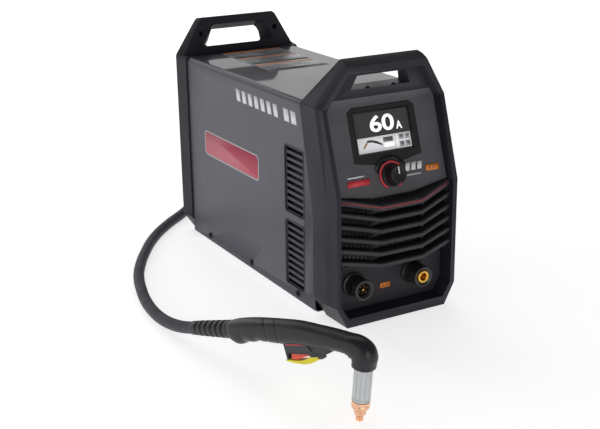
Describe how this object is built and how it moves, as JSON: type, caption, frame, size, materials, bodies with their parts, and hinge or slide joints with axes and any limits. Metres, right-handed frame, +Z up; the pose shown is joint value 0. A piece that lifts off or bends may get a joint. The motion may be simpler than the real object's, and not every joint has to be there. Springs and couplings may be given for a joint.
{
  "type": "plasma cutter unit",
  "caption": "Portable inverter plasma cutter: folded steel case between two moulded end bezels with carrying handles, leaning control console, chevron grille, hand torch and coiled lead.",
  "frame": {"origin": "on the floor, at the middle of the front bezel's flat foot face", "axes": "+X to the right seen from the front, +Y from the front towards the rear, +Z up"},
  "size_m": [0.6596, 1.1911, 0.434],
  "materials": {
    "painted_steel": "fine grey powder coat",
    "bezel_plastic": "fine textured dark grey moulding",
    "dark_plastic": "matte black-grey",
    "gloss_black": "smooth black",
    "screen_glass": "dark glossy display window",
    "red_plastic": "coral red",
    "white_print": "white",
    "brass": "turned brass",
    "copper": "bright copper",
    "zinc_steel": "zinc plated",
    "aluminium": "plain extruded",
    "board_green": "solder mask green",
    "lead_rubber": "matte rubber",
    "torch_plastic": "dark grey moulding",
    "cap_grey": "light grey ceramic-filled moulding",
    "trigger_red": "orange-red",
    "lever_yellow": "signal yellow"
  },
  "bodies": {
    "root": {"front_bezel": "bezel_plastic", "control_panel": "dark_plastic", "screen_frame": "gloss_black", "display_module": "screen_glass", "dial_ring": "red_plastic", "encoder_body": "dark_plastic", "front_grille": "bezel_plastic", "grille_screen": "gloss_black", "connector_panel": "dark_plastic", "torch_socket_body": "gloss_black", "torch_socket_contacts": "brass", "work_socket_body": "gloss_black", "work_socket_contact": "brass", "wrap_cover": "painted_steel", "louvre_left_lower": "painted_steel", "louvre_left_upper": "painted_steel", "louvre_right_lower": "painted_steel", "louvre_right_upper": "painted_steel", "side_screw_left_1": "zinc_steel", "side_screw_left_2": "zinc_steel", "side_screw_left_3": "zinc_steel", "side_screw_right_1": "zinc_steel", "side_screw_right_2": "zinc_steel", "side_screw_right_3": "zinc_steel", "base_pan": "zinc_steel", "rear_bezel": "bezel_plastic", "handle_screw_left": "zinc_steel", "handle_screw_right": "zinc_steel", "rear_panel": "dark_plastic", "fan_frame": "gloss_black", "fan_guard": "zinc_steel", "power_switch_body": "gloss_black", "mains_gland": "gloss_black", "air_inlet": "brass", "heat_sink": "aluminium", "power_board": "board_green", "transformer": "zinc_steel", "output_inductor": "zinc_steel", "capacitor_1": "gloss_black", "capacitor_2": "gloss_black", "air_valve": "brass", "control_board": "board_green", "torch_handle_left": "torch_plastic", "torch_handle_right": "torch_plastic", "torch_boot": "lead_rubber", "torch_retaining_cap": "cap_grey", "torch_shield": "copper", "torch_nozzle": "copper", "torch_electrode": "copper", "torch_lead": "lead_rubber", "lead_coil": "lead_rubber", "lead_tail": "lead_rubber", "lead_plug": "gloss_black"},
    "knob": {"control_knob": "gloss_black", "knob_pointer": "white_print", "encoder_shaft": "zinc_steel"},
    "fan": {"fan_rotor": "gloss_black"},
    "power_rocker": {"power_switch_rocker": "red_plastic"},
    "trigger": {"torch_trigger": "trigger_red"},
    "safety_lever": {"torch_safety_lever": "lever_yellow"}
  },
  "joints": [
    {"name": "knob_turn", "type": "hinge", "parent": "root", "child": "knob", "pos_m": [0, -0.00794, 0.242], "axis": [0, -0.9527, 0.3038], "range_deg": [-150, 150]},
    {"name": "fan_spin", "type": "hinge", "parent": "root", "child": "fan", "pos_m": [0, 0.515, 0.15], "axis": [0, 1, 0], "continuous": true},
    {"name": "power_rocker_tip", "type": "hinge", "parent": "root", "child": "power_rocker", "pos_m": [-0.066, 0.5265, 0.3], "axis": [1, 0, 0], "range_deg": [-20, 0]},
    {"name": "trigger_squeeze", "type": "hinge", "parent": "root", "child": "trigger", "pos_m": [-0.27014, -0.20902, 0.07315], "axis": [0.9622, 0.2723, 0], "range_deg": [0, 7], "stiffness_Nm_per_rad": 0.5, "springref_deg": -5.73},
    {"name": "safety_lever_flip", "type": "hinge", "parent": "root", "child": "safety_lever", "pos_m": [-0.26429, -0.22971, 0.07415], "axis": [0.9622, 0.2723, 0], "range_deg": [-28, 0], "stiffness_Nm_per_rad": 0.3, "springref_deg": 11.46}
  ]
}
